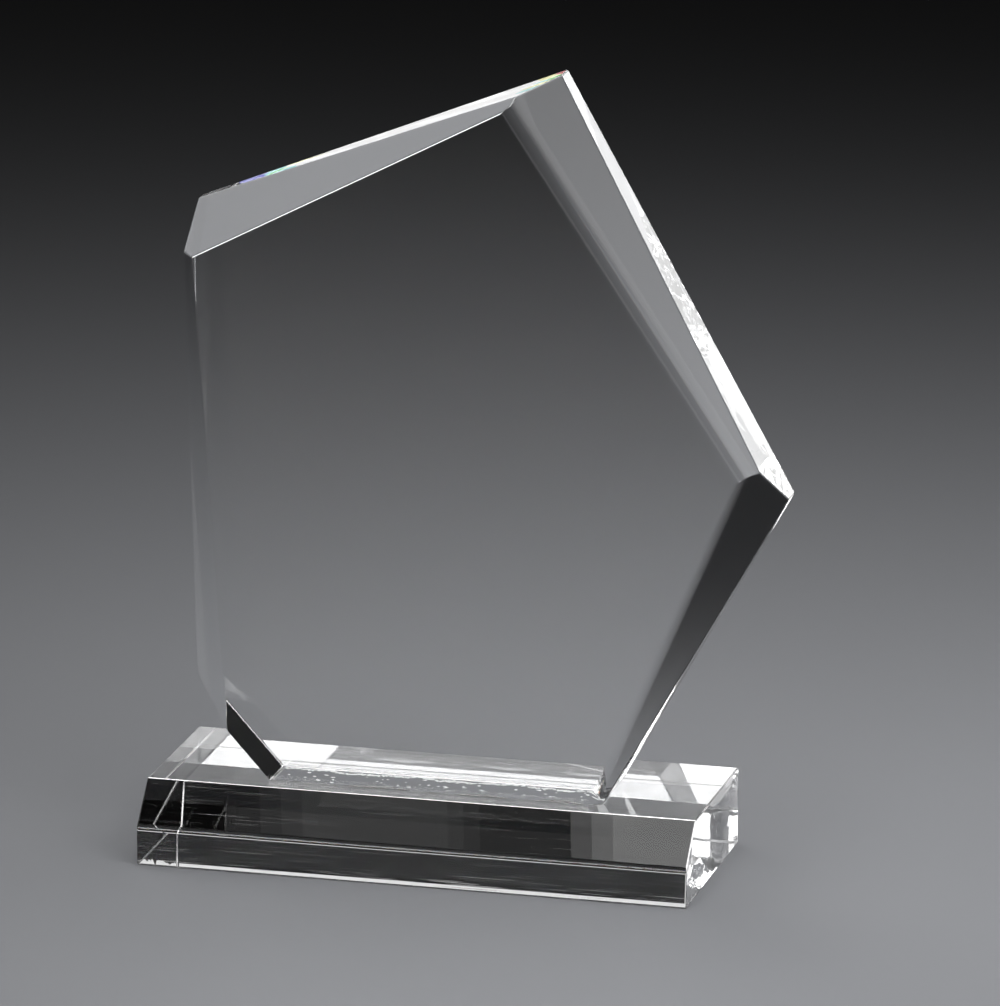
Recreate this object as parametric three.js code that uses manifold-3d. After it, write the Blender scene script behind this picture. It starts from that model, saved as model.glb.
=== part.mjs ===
// A clear acrylic award: a thick five-cornered plaque with tapering bevels, standing on a long base
// block. A thin film of solvent cement bonds the plaque's foot to the top of the base.
//
// Millimetres, +Z up, and the front faces -Y. The origin is the centre of the base's underside.

import * as THREE from 'three';
import { mergeVertices } from 'three/addons/utils/BufferGeometryUtils.js';
import Module from 'manifold-3d';

// Base block
const baseWidth = 178;
const baseDepth = 70;
const baseHeight = 25;
const baseFrontBevel = 12.5; // a 45 degree slope over the upper half of the front

// Cement film between the two pieces
const filmThickness = 0.125;
const filmMargin = 1.1; // how far the cement stops short of the foot's edges
const filmRipple = 0.5; // how far its edge wanders in and out
const dryPatches = [
  // spots along the front edge that the cement never reached
  { centre: -15, halfWidth: 11, depth: 3.4 },
  { centre: 18, halfWidth: 9, depth: 3.0 },
  { centre: 44, halfWidth: 7, depth: 3.8 },
];

// Plaque
const plaqueThickness = 25;
const plaqueFront = -16; // y of its front face, which stands just behind the base's sloping front
const footHeight = baseHeight + filmThickness;
const footLeft = -51;
const footRight = 57;

// The corners, clockwise as seen from the front, in x and z
const corners = {
  upperLeft: new THREE.Vector2(-78.5, 207.5),
  apex: new THREE.Vector2(39.5, 254.5),
  right: new THREE.Vector2(112.5, 124),
  footRight: new THREE.Vector2(footRight, footHeight),
  footLeft: new THREE.Vector2(footLeft, footHeight),
  lowerLeft: new THREE.Vector2(-78, 55),
};

// Each bevel is one flat cut across the front edge of a side. It is wide at the side's first corner
// and narrow at its last. The slope is its depth divided by its width.
const bevels = [
  { from: 'lowerLeft', to: 'upperLeft', wide: 12.5, narrow: 2.5, slope: 1.0 },
  { from: 'upperLeft', to: 'apex', wide: 14, narrow: 1, slope: 1.45 },
  { from: 'apex', to: 'right', wide: 14, narrow: 2.5, slope: 1.2 },
  { from: 'right', to: 'footRight', wide: 14, narrow: 2.5, slope: 1.2 },
];

const wasm = await Module();
wasm.setup();

function toManifold(geometry) {
  const bare = geometry.clone();
  bare.deleteAttribute('normal');
  bare.deleteAttribute('uv');
  const merged = mergeVertices(bare);
  const mesh = new wasm.Mesh({
    numProp: 3,
    vertProperties: new Float32Array(merged.attributes.position.array),
    triVerts: new Uint32Array(merged.index.array),
  });
  return new wasm.Manifold(mesh);
}

function toGeometry(manifold) {
  const mesh = manifold.getMesh();
  const geometry = new THREE.BufferGeometry();
  geometry.setAttribute('position', new THREE.BufferAttribute(mesh.vertProperties, mesh.numProp));
  geometry.setIndex(new THREE.BufferAttribute(mesh.triVerts, 1));
  geometry.computeVertexNormals();
  return geometry;
}

function clearAcrylic(color, roughness, opacity) {
  return new THREE.MeshStandardMaterial({ color, roughness, metalness: 0, transparent: true, opacity });
}

function namedMesh(name, geometry, material) {
  const mesh = new THREE.Mesh(geometry, material);
  mesh.name = name;
  return mesh;
}

// The base is its side profile, y against z, run across the full width.
function makeBase() {
  const front = -baseDepth / 2;
  const back = baseDepth / 2;
  const profile = new THREE.Shape([
    new THREE.Vector2(front, 0),
    new THREE.Vector2(back, 0),
    new THREE.Vector2(back, baseHeight),
    new THREE.Vector2(front + baseFrontBevel, baseHeight),
    new THREE.Vector2(front, baseHeight - baseFrontBevel),
  ]);
  const geometry = new THREE.ExtrudeGeometry(profile, { depth: baseWidth, bevelEnabled: false });
  geometry.translate(0, 0, -baseWidth / 2);
  const alongY = new THREE.Vector3(0, 1, 0);
  const alongZ = new THREE.Vector3(0, 0, 1);
  const alongX = new THREE.Vector3(1, 0, 0);
  geometry.applyMatrix4(new THREE.Matrix4().makeBasis(alongY, alongZ, alongX));
  return namedMesh('base_block', geometry, clearAcrylic(0xd6dadd, 0.04, 0.3));
}

// A slab whose inner face lies on a bevel's plane, covering everything that the bevel takes away
function bevelCutter({ from, to, wide, narrow, slope }) {
  const start = corners[from];
  const end = corners[to];
  const along = end.clone().sub(start).normalize();
  const outward = new THREE.Vector2(-along.y, along.x);
  const onFront = (corner, width) => {
    const point = corner.clone().addScaledVector(outward, -width);
    return new THREE.Vector3(point.x, plaqueFront, point.y);
  };
  const innerStart = onFront(start, wide);
  const innerEnd = onFront(end, narrow);
  const outerStart = new THREE.Vector3(start.x, plaqueFront + slope * wide, start.y);

  const edge = innerEnd.clone().sub(innerStart).normalize();
  const normal = edge.clone().cross(outerStart.clone().sub(innerStart)).normalize();
  const across = normal.clone().cross(edge);
  const reach = 600;
  const thickness = 60;
  const slab = new THREE.BoxGeometry(reach, reach, thickness);
  slab.translate(0, 0, thickness / 2);
  slab.applyMatrix4(new THREE.Matrix4().makeBasis(edge, across, normal).setPosition(innerStart));
  return toManifold(slab);
}

function makePlaque() {
  const outline = new THREE.Shape(Object.values(corners));
  const slab = new THREE.ExtrudeGeometry(outline, { depth: plaqueThickness, bevelEnabled: false });
  slab.rotateX(Math.PI / 2);
  slab.translate(0, plaqueFront + plaqueThickness, 0);
  let solid = toManifold(slab);
  for (const bevel of bevels) {
    solid = solid.subtract(bevelCutter(bevel));
  }
  return namedMesh('plaque', toGeometry(solid), clearAcrylic(0xdde0e3, 0.03, 0.25));
}

// How far the film's front edge draws back from the foot's edge at a given x
function frontMargin(x) {
  let margin = filmMargin + filmRipple * Math.sin(x * 0.55) * Math.cos(x * 0.17);
  for (const { centre, halfWidth, depth } of dryPatches) {
    const u = (x - centre) / halfWidth;
    if (Math.abs(u) < 1) {
      margin += depth * (1 - u * u);
    }
  }
  return margin;
}

function backMargin(x) {
  return filmMargin + filmRipple * Math.sin(x * 0.43 + 1) + 0.5 * filmRipple * Math.sin(x * 1.3);
}

function makeFilm() {
  const front = plaqueFront;
  const back = plaqueFront + plaqueThickness;
  const left = footLeft + filmMargin;
  const right = footRight - filmMargin;
  const steps = 72;
  const frontEdge = [];
  const backEdge = [];
  for (let i = 0; i <= steps; i += 1) {
    const x = left + ((right - left) * i) / steps;
    frontEdge.push(new THREE.Vector2(x, front + frontMargin(x)));
    backEdge.unshift(new THREE.Vector2(x, back - backMargin(x)));
  }
  const outline = new THREE.Shape([...frontEdge, ...backEdge]);
  const geometry = new THREE.ExtrudeGeometry(outline, { depth: filmThickness, bevelEnabled: false });
  geometry.translate(0, 0, baseHeight);
  return namedMesh('cement_film', geometry, clearAcrylic(0xe6e8ea, 0.1, 0.4));
}

const award = new THREE.Group();
award.add(makeBase(), makeFilm(), makePlaque());

export default award;
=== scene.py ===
"""Clear acrylic award in a soft studio: a bevelled plaque cemented to a long base block."""

import math
import random

import bmesh
import bpy
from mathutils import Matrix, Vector


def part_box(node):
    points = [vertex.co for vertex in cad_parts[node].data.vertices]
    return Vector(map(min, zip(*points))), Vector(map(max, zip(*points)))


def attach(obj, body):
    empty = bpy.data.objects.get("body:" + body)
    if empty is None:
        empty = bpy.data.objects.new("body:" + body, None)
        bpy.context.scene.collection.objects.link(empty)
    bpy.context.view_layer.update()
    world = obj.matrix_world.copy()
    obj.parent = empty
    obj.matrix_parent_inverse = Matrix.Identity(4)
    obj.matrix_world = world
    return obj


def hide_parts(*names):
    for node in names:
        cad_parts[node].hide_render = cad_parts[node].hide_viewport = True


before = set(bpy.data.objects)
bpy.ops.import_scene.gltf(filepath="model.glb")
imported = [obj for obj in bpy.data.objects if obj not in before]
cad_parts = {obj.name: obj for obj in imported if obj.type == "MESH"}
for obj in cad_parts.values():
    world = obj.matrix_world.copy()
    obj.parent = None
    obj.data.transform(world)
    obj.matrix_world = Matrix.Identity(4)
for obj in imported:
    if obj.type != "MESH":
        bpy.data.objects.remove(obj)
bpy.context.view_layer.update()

MM = 0.001

# Acrylic, its wear, and the waves in its sawn edges
IOR_ACRYLIC = 1.49
ACRYLIC_TINT = (0.985, 0.988, 0.99)
SCRATCH_ROUGHNESS = 0.2
SCRATCH_TURNS = ((0.0, -0.05, 0.0), (0.0, 0.5, 0.0))
SCRATCH_SCALE = (30, 2600, 2600)
SPECK_SCALE = 120.0
WAVE_HEIGHT = 0.09 * MM
WAVE_SCALE = (25, 80, 80)

# Edge radii left by sanding and buffing
CRISP_RADIUS = 0.25 * MM
POLISHED_RADIUS = 0.5 * MM
CREASE_RADIUS = 1.4 * MM
CREASE_SEGMENTS = 6
EASED_RADIUS = 2.0 * MM
SOFT_RADIUS = 4.5 * MM
SOFT_SEGMENTS = 8

# Which way the plaque's upper left edge faces, in x and z
UPPER_LEFT_OUTWARD = (-0.370, 0.929)

# Cement film: its gaps to the blocks, and the air trapped in it
FILM_GAP = 0.01 * MM
BUBBLE_SIDES = 8
BUBBLE_HEIGHT = 0.045 * MM
FROTH_COUNT = 380
FROTH_MARGIN = 0.9 * MM
FROTH_REACH = 3.2 * MM
# The froth's own white, which is also the white of the painted highlight on the upper left rim
FROTH_AND_RIM_HIGHLIGHT_COLOUR = (0.94, 0.95, 0.96)
# Strength of the painted glow on the froth, the bubbles, the film's edge wall and the upper left rim
PAINTED_GLOW_STRENGTH = 0.45
LOOSE_COUNT = 45
LOOSE_MARGIN = 2 * MM
RANDOM_SEED = 7

# Paper floor: painted light falloff, grey tones at shares of the falloff radius, pale round the award and
# black far out
FLOOR_RADIUS = 6.0
FLOOR_GAP = 0.15 * MM
FLOOR_ROUGHNESS = 0.55
PAINTED_FALLOFF_RADIUS = 1.65
PAINTED_FALLOFF_CENTRE = (0.15, -0.03, 0)
PAPER_TINT = (0.98, 1.0, 1.06)
PAINTED_FALLOFF_TONES = (
    (0.0, 0.235), (0.15, 0.21), (0.30, 0.14), (0.45, 0.075), (0.60, 0.027), (0.75, 0.007), (0.9, 0.003)
)

# Lights
LIGHT_TARGET = Vector((0, 0, 0.1))
WATTS_PER_RADIANCE = 4.0
FEATHER_STEPS = 3
STEP_GAP = 0.004
OVERHEAD_HEIGHT = 0.90
OVERHEAD_FEATHER = 0.008
FRINGE_DEGREES = 0.4
FRINGE_COLOURS = ((-1, (0.6, 0.2, 0.2)), (0, (0.2, 0.6, 0.2)), (1, (0.2, 0.2, 0.6)))
ROOM_COLOUR = (0.001, 0.001, 0.001, 1)

# Camera
CAMERA_LENS = 334.66
CAMERA_REACH = 20
CAMERA_PLACE = Vector((0.73317, -2.72134, 0.90249))
CAMERA_AIM = Vector((0.021037, -0.0035, 0.11755))

# Light crosses the clear blocks many times
LIGHT_BOUNCES = 32


# ---------------------------------------------------------------- geometry

def planar_copy(node):
    """A bmesh of a CAD node with its triangles joined back into whole flat faces."""
    solid = bmesh.new()
    solid.from_mesh(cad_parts[node].data)
    bmesh.ops.remove_doubles(solid, verts=solid.verts, dist=1e-6)
    bmesh.ops.dissolve_limit(
        solid, angle_limit=math.radians(0.2), verts=solid.verts, edges=solid.edges
    )
    bmesh.ops.recalc_face_normals(solid, faces=solid.faces)
    return solid


def set_edge_radii(solid, radius_of, widest):
    """Stores each edge's radius as the weight that the Bevel modifier reads."""
    weights = solid.edges.layers.float.new("bevel_weight_edge")
    for edge in solid.edges:
        edge[weights] = radius_of(edge) / widest


def object_from(solid, name):
    mesh = bpy.data.meshes.new(name)
    solid.to_mesh(mesh)
    solid.free()
    piece = bpy.data.objects.new(name, mesh)
    bpy.context.scene.collection.objects.link(piece)
    return piece


def apply_modifiers(piece):
    graph = bpy.context.evaluated_depsgraph_get()
    mesh = bpy.data.meshes.new_from_object(piece.evaluated_get(graph))
    piece.modifiers.clear()
    piece.data = mesh


def round_edges(piece, widest, segments):
    bevel = piece.modifiers.new("round_edges", "BEVEL")
    bevel.limit_method = "WEIGHT"
    bevel.offset_type = "OFFSET"
    bevel.width = widest
    bevel.segments = segments
    bevel.profile = 0.5
    bevel.use_clamp_overlap = True
    apply_modifiers(piece)


def weight_normals(piece):
    piece.data.shade_smooth()
    weighted = piece.modifiers.new("flat_faces_stay_flat", "WEIGHTED_NORMAL")
    weighted.weight = 100
    weighted.keep_sharp = False
    apply_modifiers(piece)


def is_front(face):
    return face.normal.y < -0.999


def is_bevel(face):
    return -0.95 < face.normal.y < -0.1 and abs(face.normal.z) < 0.99


def plaque_radius(edge):
    """Soft on the right-hand bevels' inner edges, crisp round the foot, polished elsewhere."""
    one, two = edge.link_faces
    for front, bevel in ((one, two), (two, one)):
        if is_front(front) and is_bevel(bevel) and bevel.normal.x > 0:
            return SOFT_RADIUS if bevel.normal.z > 0 else EASED_RADIUS
    if any(face.normal.z < -0.99 for face in edge.link_faces):
        return CRISP_RADIUS
    return POLISHED_RADIUS


def base_radius(edge):
    """Wide on the crease between the front and the slope, polished elsewhere."""
    one, two = edge.link_faces
    if is_front(one) != is_front(two) and (is_bevel(one) or is_bevel(two)):
        return CREASE_RADIUS
    return POLISHED_RADIUS


def build_rounded(node, name, radius_of, widest, segments):
    """A visible piece made from a CAD node by rounding its edges."""
    solid = planar_copy(node)
    set_edge_radii(solid, radius_of, widest)
    piece = object_from(solid, name)
    round_edges(piece, widest, segments)
    return piece


def largest_face(solid, direction):
    """The widest flat face that looks along direction."""
    facing = [face for face in solid.faces if face.normal.dot(direction) > 0.9999]
    return max(facing, key=lambda face: face.calc_area())


def film_outline():
    """The cement film's edge, as points in x and y, in order."""
    film = planar_copy("cement_film")
    top = largest_face(film, Vector((0, 0, 1)))
    points = [vertex.co.xy.copy() for vertex in top.verts]
    film.free()
    return points


def inlay_bond(piece, direction, outline):
    """Cuts the cement's outline into the flat face that it wets, as a face with material 1."""
    solid = bmesh.new()
    solid.from_mesh(piece.data)
    face = largest_face(solid, direction)
    height = face.verts[0].co.z
    rim = list(face.edges)
    bmesh.ops.delete(solid, geom=[face], context="FACES_ONLY")
    corners = [solid.verts.new((x, y, height)) for x, y in outline]
    edges = [solid.edges.new((a, b)) for a, b in zip(corners, corners[1:] + corners[:1])]
    bmesh.ops.triangle_fill(solid, edges=rim + edges, use_beauty=True, normal=direction)
    bond = solid.faces.new(corners)
    bond.material_index = 1
    bmesh.ops.recalc_face_normals(solid, faces=solid.faces)
    solid.to_mesh(piece.data)
    solid.free()


# ---------------------------------------------------------------- materials

def add(tree, kind, inputs, **settings):
    """Adds a shader node; an input takes a plain value or another node's output."""
    made = tree.nodes.new("ShaderNode" + kind)
    for key, value in settings.items():
        setattr(made, key, value)
    for socket, value in inputs.items():
        if isinstance(value, bpy.types.NodeSocket):
            tree.links.new(value, made.inputs[socket])
        else:
            made.inputs[socket].default_value = value
    return made


def principled(name):
    """A new material, its node tree and its one shader."""
    material = bpy.data.materials.new(name)
    material.use_nodes = True
    return material, material.node_tree, material.node_tree.nodes["Principled BSDF"]


def clear_plastic(name, colour=ACRYLIC_TINT, ior=IOR_ACRYLIC, transmission=1.0):
    material, tree, shader = principled(name)
    shader.inputs["Base Color"].default_value = (*colour, 1)
    shader.inputs["Roughness"].default_value = 0.0
    shader.inputs["IOR"].default_value = ior
    shader.inputs["Transmission Weight"].default_value = transmission
    return material, tree, shader


def hairlines(tree, place, turn):
    """Sparse straight scratches, a few centimetres long and a tenth of a millimetre wide."""
    turned = add(tree, "Mapping", {"Vector": place, "Rotation": turn, "Scale": SCRATCH_SCALE})
    noise = add(tree, "TexNoise", {"Vector": turned.outputs[0], "Scale": 1.0, "Detail": 0.0})
    line = add(tree, "MapRange", {"Value": noise.outputs["Fac"], "From Min": 0.74, "From Max": 0.82})
    return line.outputs["Result"]


def specks(tree, place):
    """Pits and dust, each a fraction of a millimetre across."""
    cells = add(tree, "TexVoronoi", {"Vector": place, "Scale": SPECK_SCALE})
    dot = add(tree, "MapRange", {"Value": cells.outputs["Distance"], "From Min": 0.035, "From Max": 0.02})
    return dot.outputs["Result"]


def larger(tree, one, other):
    return add(tree, "Math", {0: one, 1: other}, operation="MAXIMUM").outputs[0]


def product(tree, one, other):
    return add(tree, "Math", {0: one, 1: other}, operation="MULTIPLY").outputs[0]


def size_of(tree, value):
    return add(tree, "Math", {0: value}, operation="ABSOLUTE").outputs[0]


def wear_roughness(tree, place, scratch_turns):
    """Polished plastic that is rough only along hairline scratches and at specks."""
    wear = specks(tree, place)
    for turn in scratch_turns:
        wear = larger(tree, wear, hairlines(tree, place, turn))
    return product(tree, wear, SCRATCH_ROUGHNESS)


def sawn_edge_mask(tree, coordinates):
    """One on the sawn ends and slanting edges, nought on flat sheet, bevels, tops and undersides."""
    normal = add(tree, "SeparateXYZ", {0: coordinates.outputs["Normal"]})
    to_front = size_of(tree, normal.outputs["Y"])
    to_side = size_of(tree, normal.outputs["X"])
    edge_on = add(tree, "MapRange", {"Value": to_front, "From Min": 0.3, "From Max": 0.1})
    sideways = add(tree, "MapRange", {"Value": to_side, "From Min": 0.15, "From Max": 0.3})
    return product(tree, edge_on.outputs[0], sideways.outputs[0])


def flame_polish(tree, coordinates):
    """The shallow waves that sawing and flame polishing leave in a cut edge."""
    drawn = add(tree, "Mapping", {"Vector": coordinates.outputs["Object"], "Scale": WAVE_SCALE})
    swell = add(tree, "TexNoise", {
        "Vector": drawn.outputs[0], "Scale": 1.0, "Detail": 1.0, "Distortion": 0.6
    })
    wave = product(tree, swell.outputs["Fac"], sawn_edge_mask(tree, coordinates))
    bump = add(tree, "Bump", {"Height": wave, "Strength": 1.0, "Distance": WAVE_HEIGHT})
    return bump.outputs["Normal"]


def acrylic(name, scratch_turns=()):
    material, tree, shader = clear_plastic(name)
    coordinates = add(tree, "TexCoord", {})
    rough = wear_roughness(tree, coordinates.outputs["Object"], scratch_turns)
    tree.links.new(rough, shader.inputs["Roughness"])
    tree.links.new(flame_polish(tree, coordinates), shader.inputs["Normal"])
    return material


def froth_with_painted_glow():
    """Air in half-set cement, white and ragged, with a painted glow from its emission; also the painted
    highlight on the plaque's upper left rim.
    """
    material, tree, shader = clear_plastic("cement_froth_painted_glow", colour=FROTH_AND_RIM_HIGHLIGHT_COLOUR, transmission=0.1)
    coordinates = add(tree, "TexCoord", {})
    grain = add(tree, "TexNoise", {"Vector": coordinates.outputs["Object"], "Scale": 3000.0})
    rough = add(tree, "MapRange", {"Value": grain.outputs["Fac"], "To Min": 0.2, "To Max": 0.6})
    tree.links.new(rough.outputs["Result"], shader.inputs["Roughness"])
    # Painted glow: emission that stands in for the light the froth would gather from the lamps
    shader.inputs["Emission Color"].default_value = (1, 1, 1, 1)
    shader.inputs["Emission Strength"].default_value = PAINTED_GLOW_STRENGTH
    return material


def paper_with_painted_falloff():
    """Grey paper with a painted pool of light: pale round the award, with painted shade to black far out on
    every side.
    """
    material, tree, shader = principled("paper_with_painted_falloff")
    shader.inputs["Roughness"].default_value = FLOOR_ROUGHNESS
    coordinates = add(tree, "TexCoord", {})
    offset = add(tree, "VectorMath", {0: coordinates.outputs["Object"], 1: PAINTED_FALLOFF_CENTRE}, operation="SUBTRACT")
    length = add(tree, "VectorMath", {0: offset.outputs[0]}, operation="LENGTH")
    reach = add(tree, "Math", {0: length.outputs["Value"], 1: PAINTED_FALLOFF_RADIUS}, operation="DIVIDE")
    # Painted light falloff: the paper's tone darkens with distance from the award
    ramp = add(tree, "ValToRGB", {0: reach.outputs[0]})
    ramp.color_ramp.interpolation = "B_SPLINE"
    while len(ramp.color_ramp.elements) < len(PAINTED_FALLOFF_TONES):
        ramp.color_ramp.elements.new(0.5)
    for element, (where, tone) in zip(ramp.color_ramp.elements, PAINTED_FALLOFF_TONES):
        element.position = where
        element.color = (*(tone * share for share in PAPER_TINT), 1)
    tree.links.new(ramp.outputs[0], shader.inputs["Base Color"])
    return material


bond_look, _, _ = clear_plastic("bonded_acrylic", colour=(1, 1, 1), ior=1.0)
froth_painted_glow_look = froth_with_painted_glow()


# ---------------------------------------------------------------- cement

def flat_shell(solid, outline, bottom, top):
    """A closed slab: flat faces take material 0, the wall round its edge takes material 1."""
    low = [solid.verts.new((x, y, bottom)) for x, y in outline]
    high = [solid.verts.new((x, y, top)) for x, y in outline]
    solid.faces.new(high)
    solid.faces.new(list(reversed(low)))
    count = len(outline)
    for i in range(count):
        j = (i + 1) % count
        wall = solid.faces.new((low[i], low[j], high[j], high[i]))
        wall.material_index = 1


def add_bubble(solid, centre, length, width, turn):
    """A flat air bubble. Its faces look inwards, at its own air, as a hole in the cement does."""
    x0, y0, z0 = centre
    rings = []
    for level, spread in ((-0.7, 0.72), (0.0, 1.0), (0.7, 0.72)):
        ring = []
        for side in range(BUBBLE_SIDES):
            angle = math.tau * side / BUBBLE_SIDES
            along = spread * length * math.cos(angle)
            across = spread * width * math.sin(angle)
            x = x0 + along * math.cos(turn) - across * math.sin(turn)
            y = y0 + along * math.sin(turn) + across * math.cos(turn)
            ring.append(solid.verts.new((x, y, z0 + level * BUBBLE_HEIGHT)))
        rings.append(ring)
    below = solid.verts.new((x0, y0, z0 - BUBBLE_HEIGHT))
    above = solid.verts.new((x0, y0, z0 + BUBBLE_HEIGHT))
    faces = []
    for i in range(BUBBLE_SIDES):
        j = (i + 1) % BUBBLE_SIDES
        faces.append(solid.faces.new((below, rings[0][i], rings[0][j])))
        faces.append(solid.faces.new((above, rings[2][j], rings[2][i])))
        for lower, upper in zip(rings, rings[1:]):
            faces.append(solid.faces.new((lower[j], lower[i], upper[i], upper[j])))
    for face in faces:
        face.material_index = 1
        face.smooth = True


def edge_depth(outline, x, back):
    """Where the cement ends at x, on its back or its front edge."""
    middle = sum(y for _, y in outline) / len(outline)
    side = sorted((px, py) for px, py in outline if (py > middle) == back)
    for (x0, y0), (x1, y1) in zip(side, side[1:]):
        if x0 <= x <= x1 and x1 > x0:
            return y0 + (y1 - y0) * (x - x0) / (x1 - x0)
    return side[0][1] if x < side[0][0] else side[-1][1]


def add_froth_line(solid, outline, left, right, middle, rng):
    """Crowded bubbles that follow the cement's back edge, in a band of uneven depth."""
    for _ in range(FROTH_COUNT):
        x = rng.uniform(left, right)
        reach = FROTH_REACH * (0.45 + 0.35 * math.sin(x * 190) + 0.2 * math.sin(x * 610 + 1))
        inset = FROTH_MARGIN + max(reach, 0) + rng.gauss(0, 0.35) * MM
        y = edge_depth(outline, x, back=True) - max(inset, FROTH_MARGIN)
        length = rng.uniform(0.5, 1.7) * MM
        width = rng.uniform(0.2, 0.5) * MM
        add_bubble(solid, (x, y, middle), length, width, rng.gauss(1.4, 0.5))


def add_loose_bubbles(solid, outline, left, right, middle, rng):
    """A few bubbles anywhere between the froth and the cement's front edge."""
    for _ in range(LOOSE_COUNT):
        x = rng.uniform(left + LOOSE_MARGIN, right - LOOSE_MARGIN)
        front = edge_depth(outline, x, back=False) + LOOSE_MARGIN
        back = edge_depth(outline, x, back=True) - 2 * LOOSE_MARGIN
        y = rng.uniform(front, back)
        size = rng.uniform(0.4, 1.0) * MM
        add_bubble(solid, (x, y, middle), size, size * 0.7, rng.uniform(0, math.pi))


def weld_film():
    """The solvent cement: a clear film with froth along its back edge and a few loose bubbles."""
    rng = random.Random(RANDOM_SEED)
    outline = film_outline()
    if sum(a.x * b.y - b.x * a.y for a, b in zip(outline, outline[1:] + outline[:1])) < 0:
        outline.reverse()
    lowest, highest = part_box("cement_film")
    middle = (lowest[2] + highest[2]) / 2
    left = lowest[0] + FROTH_MARGIN
    right = highest[0] - FROTH_MARGIN
    solid = bmesh.new()
    flat_shell(solid, outline, lowest[2] + FILM_GAP, highest[2] - FILM_GAP)
    add_froth_line(solid, outline, left, right, middle, rng)
    add_loose_bubbles(solid, outline, left, right, middle, rng)
    film = object_from(solid, "weld_film")
    film.data.materials.append(bond_look)
    # Material 1 goes on the film's edge wall, the froth and the loose bubbles: white, with a painted glow
    film.data.materials.append(froth_painted_glow_look)
    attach(film, "root")
    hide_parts("cement_film")


# ---------------------------------------------------------------- blocks

def finish_block(piece, node, look, bond_direction):
    """Gives a block its looks, with the cement's outline cut into its bonded face."""
    piece.data.materials.append(look)
    piece.data.materials.append(bond_look)
    inlay_bond(piece, bond_direction, film_outline())
    weight_normals(piece)
    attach(piece, "root")
    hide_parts(node)


def is_upper_left_rim(face):
    """A face of the narrow rounding between the front and the upper left bevel."""
    toward = UPPER_LEFT_OUTWARD
    slant = face.normal.x * toward[0] + face.normal.z * toward[1]
    across = face.normal.x * toward[1] - face.normal.z * toward[0]
    return slant > 0.05 and abs(across) < 0.04 and face.normal.y < -0.6


def paint_upper_left_rim_highlight(piece):
    """The rim takes the white, glowing froth material: a painted highlight that shows as a fine white line.
    """
    # Painted highlight: the rounding between the front and the upper left bevel gets the glowing froth
    # material
    piece.data.materials.append(froth_painted_glow_look)
    highlight_slot = len(piece.data.materials) - 1
    for face in piece.data.polygons:
        if is_upper_left_rim(face):
            face.material_index = highlight_slot


plaque = build_rounded("plaque", "clear_plaque", plaque_radius, SOFT_RADIUS, SOFT_SEGMENTS)
finish_block(plaque, "plaque", acrylic("plaque_acrylic_look"), Vector((0, 0, -1)))
# A painted highlight on the plaque's upper left rim
paint_upper_left_rim_highlight(plaque)
base = build_rounded("base_block", "clear_base", base_radius, CREASE_RADIUS, CREASE_SEGMENTS)
scratched = acrylic("base_acrylic_look", SCRATCH_TURNS)
finish_block(base, "base_block", scratched, Vector((0, 0, 1)))
weld_film()


# ---------------------------------------------------------------- studio

def make_floor():
    disc = bmesh.new()
    bmesh.ops.create_circle(disc, cap_ends=True, segments=96, radius=FLOOR_RADIUS)
    floor = object_from(disc, "floor")
    floor.location.z = -FLOOR_GAP
    # The floor's pale pool round the award is painted light falloff
    floor.data.materials.append(paper_with_painted_falloff())


def area_light(name, width, height, brightness, colour=(1, 1, 1)):
    """A flat soft light, hidden from the camera. Its brightness is its radiance."""
    data = bpy.data.lights.new(name, "AREA")
    data.shape = "RECTANGLE"
    data.size = width
    data.size_y = height
    data.energy = WATTS_PER_RADIANCE * brightness * width * height
    data.color = colour
    light = bpy.data.objects.new(name, data)
    light.visible_camera = False
    bpy.context.scene.collection.objects.link(light)
    return light


def panel(name, azimuth, elevation, distance, brightness, colour=(1, 1, 1)):
    """A light that fills a window of azimuths and elevations, in degrees, as the award sees it.

    Azimuth 0 is straight in front and grows to the right. Returns the light.
    """
    turn = math.radians(sum(azimuth) / 2)
    rise = math.radians(sum(elevation) / 2)
    back = Vector((math.sin(turn) * math.cos(rise), -math.cos(turn) * math.cos(rise), math.sin(rise)))
    width = 2 * distance * math.tan(math.radians(azimuth[1] - azimuth[0]) / 2) * math.cos(rise)
    height = 2 * distance * math.tan(math.radians(elevation[1] - elevation[0]) / 2)
    light = area_light(name, width, height, brightness, colour)
    light.location = LIGHT_TARGET + back * distance
    light.rotation_mode = "QUATERNION"
    light.rotation_quaternion = back.to_track_quat("Z", "Y")
    return light


def feathered_panel(name, azimuth, elevation, distance, brightness, feather):
    """A panel whose edges fade in steps."""
    for step in range(FEATHER_STEPS):
        inset = feather * step
        panel(
            f"{name}_{step}", (azimuth[0] + inset, azimuth[1] - inset),
            (elevation[0] + inset * 0.5, elevation[1] - inset * 0.5),
            distance + STEP_GAP * step, brightness / FEATHER_STEPS
        )


def fringed_panel(name, azimuth, elevation, distance, brightness):
    """A white light with a coloured rim: reddish, greenish and bluish panels stand slightly apart.

    Clear plastic spreads white light into such fringes, which a single refractive index leaves out.
    Returns the three lights.
    """
    lights = []
    for shift, colour in FRINGE_COLOURS:
        turn = FRINGE_DEGREES * shift
        lights.append(panel(
            f"{name}_{shift + 1}", (azimuth[0] + turn, azimuth[1] + turn),
            (elevation[0] + turn, elevation[1] + turn), distance + STEP_GAP * shift, brightness, colour
        ))
    return lights


def feathered_overhead(name, x_range, y_range, brightness):
    """A level light above the award, whose left and right ends fade in steps."""
    for step in range(FEATHER_STEPS):
        inset = OVERHEAD_FEATHER * (step - 1)
        width = x_range[1] - x_range[0] - 2 * inset
        depth = y_range[1] - y_range[0]
        light = area_light(f"{name}_{step}", width, depth, brightness / FEATHER_STEPS)
        light.location = (sum(x_range) / 2, sum(y_range) / 2, OVERHEAD_HEIGHT + STEP_GAP * step)


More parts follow.
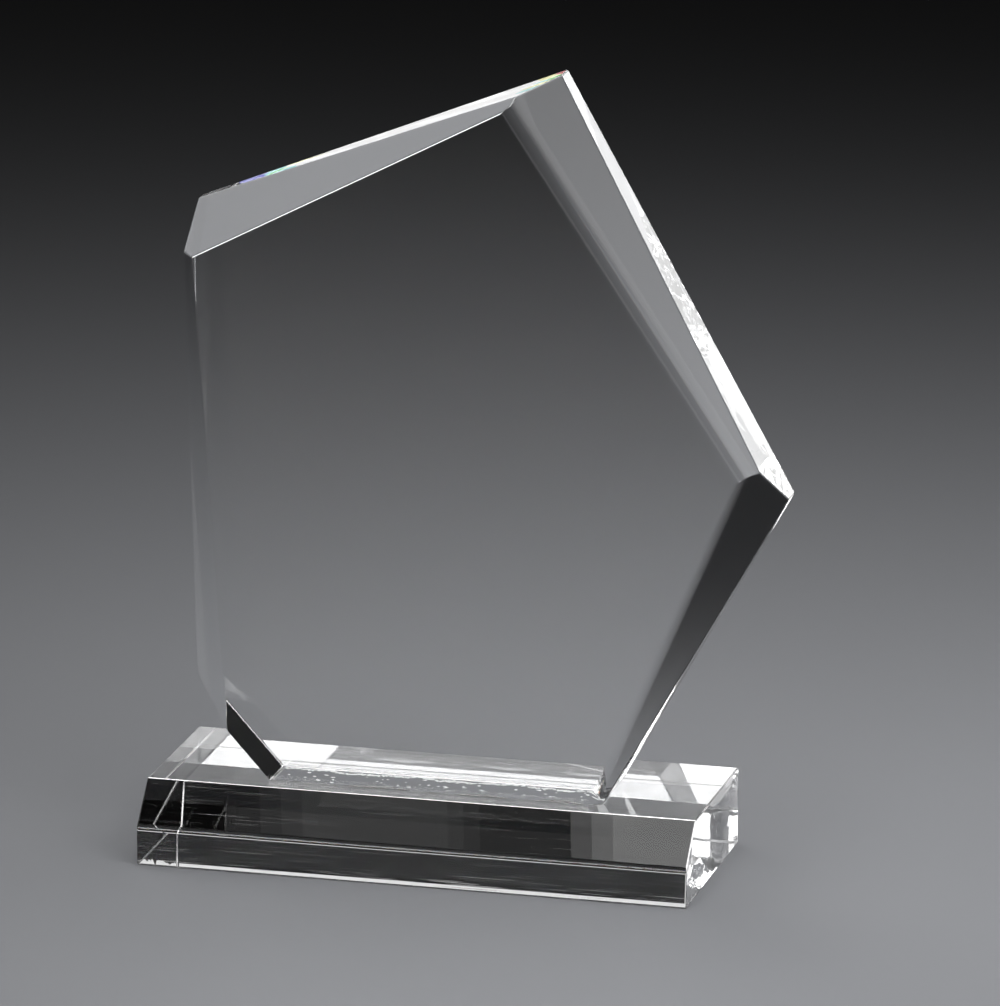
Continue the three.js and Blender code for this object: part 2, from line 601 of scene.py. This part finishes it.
def card_behind(name, x_range, z_range, depth, brightness):
    """A narrow upright light behind the award that faces it. Returns the light."""
    light = area_light(name, x_range[1] - x_range[0], z_range[1] - z_range[0], brightness)
    light.location = (sum(x_range) / 2, depth, sum(z_range) / 2)
    light.rotation_euler = (-math.pi / 2, 0, 0)
    return light


def light_only(lights, piece):
    """Keeps low lights off the paper and the other block, as small flags do in a studio."""
    lit = bpy.data.collections.new("lit_by_" + lights[0].name)
    lit.objects.link(piece)
    for light in lights:
        light.light_linking.receiver_collection = lit


def make_lights():
    feathered_overhead("overhead_right", (-0.165, 0.75), (-0.55, 0.45), 2.6)
    feathered_overhead("overhead_left", (-0.299, -0.22), (-0.55, 0.1), 0.4)
    feathered_panel("right_front", (32, 92), (10, 50), 1.3, 1.9, 7)
    fringed_panel("front_strip", (-30, 0), (9, 20), 1.3, 5.5)
    panel("front_centre", (11, 15), (12.7, 16.8), 1.3, 1.6)
    fringed_panel("front_right_strip", (32, 60), (9, 20), 1.3, 1.2)
    fringed_panel("back_left_top", (-178, -122), (56, 70), 1.2, 1.9)
    light_only([panel("back_right_low", (155.0, 161.6), (2.4, 10.0), 1.9, 2.9)], plaque)
    light_only(fringed_panel("back_left_low", (-162, -157.5), (2.0, 5.0), 1.9, 1.2), plaque)
    light_only([card_behind("base_top_card", (-0.19, 0.03), (0.102, 0.1175), 0.3, 0.62)], base)
    panel("front_fill", (-60, 28), (20, 42), 1.35, 0.35)
    panel("left", (-148, -62), (26, 54), 1.3, 1.05)
    panel("front_low", (-30, 30), (-1, 4), 1.6, 0.6)
    panel("right_low", (62, 148), (-1, 9), 1.6, 0.6)


def darken_room():
    world = bpy.data.worlds.new("dark_room")
    world.use_nodes = True
    world.node_tree.nodes["Background"].inputs["Color"].default_value = ROOM_COLOUR
    bpy.context.scene.world = world


def place_camera():
    data = bpy.data.cameras.new("camera")
    data.lens = CAMERA_LENS
    data.clip_end = CAMERA_REACH
    camera = bpy.data.objects.new("camera", data)
    camera.location = CAMERA_PLACE
    camera.rotation_euler = (CAMERA_AIM - CAMERA_PLACE).to_track_quat("-Z", "Y").to_euler()
    bpy.context.scene.collection.objects.link(camera)
    bpy.context.scene.camera = camera


make_floor()
make_lights()
darken_room()
place_camera()

bpy.context.scene.view_settings.view_transform = "Standard"
cycles = bpy.context.scene.cycles
cycles.max_bounces = LIGHT_BOUNCES
cycles.glossy_bounces = LIGHT_BOUNCES
cycles.transmission_bounces = LIGHT_BOUNCES
